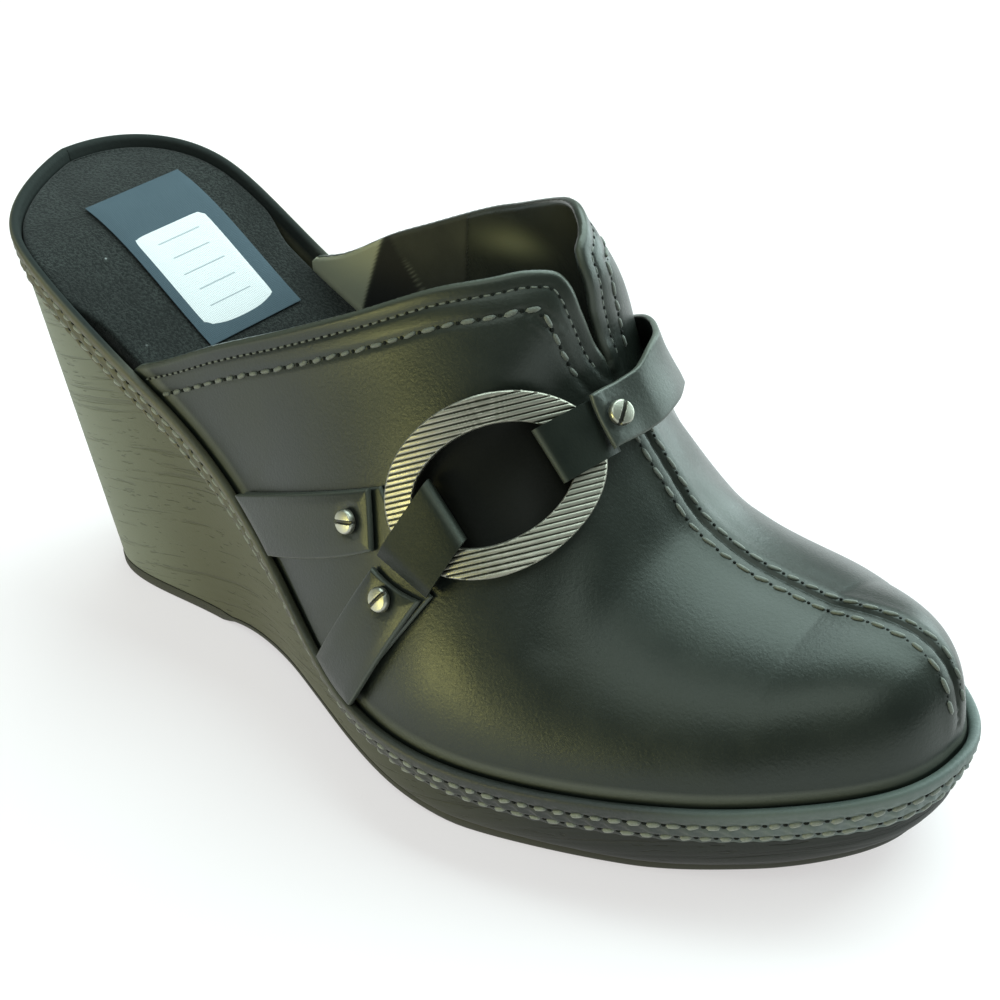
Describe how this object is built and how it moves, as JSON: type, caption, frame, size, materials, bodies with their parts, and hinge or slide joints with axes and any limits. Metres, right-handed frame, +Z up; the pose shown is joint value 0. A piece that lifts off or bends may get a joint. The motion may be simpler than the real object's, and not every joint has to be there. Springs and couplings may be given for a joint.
{
  "type": "wedge clog",
  "caption": "Open-back platform clog on a high wedge with a throat slit, instep strap and forked side strap joined by an oval grooved metal ring",
  "frame": {"origin": "centre of the bounding box in plan, at floor level", "axes": "+X towards the toe, +Y towards the inner side, +Z up; the ornament is on the -Y side"},
  "size_m": [0.2462, 0.0968, 0.1103],
  "materials": {
    "outsole": "matt moulded rubber",
    "wedge": "foamed sole with fine grooves",
    "platform_band": "matt leather strip",
    "insole": "black suede",
    "insole_label": "woven blue-grey label",
    "upper": "satin black leather",
    "strap_base": "satin black leather",
    "rear_strap": "satin black leather",
    "front_strap": "satin black leather",
    "instep_strap": "satin black leather",
    "lower_loop": "satin black leather",
    "upper_loop": "satin black leather",
    "ring": "antique silver cast metal",
    "rear_stud": "antique silver",
    "front_stud": "antique silver",
    "instep_stud": "antique silver"
  },
  "bodies": {
    "root": {"outsole": "outsole", "wedge": "wedge", "platform_band": "platform_band", "insole": "insole", "insole_label": "insole_label", "upper": "upper", "strap_base": "strap_base", "rear_strap": "rear_strap", "front_strap": "front_strap", "instep_strap": "instep_strap", "lower_loop": "lower_loop", "upper_loop": "upper_loop", "ring": "ring", "rear_stud": "rear_stud", "front_stud": "front_stud", "instep_stud": "instep_stud"}
  },
  "joints": []
}
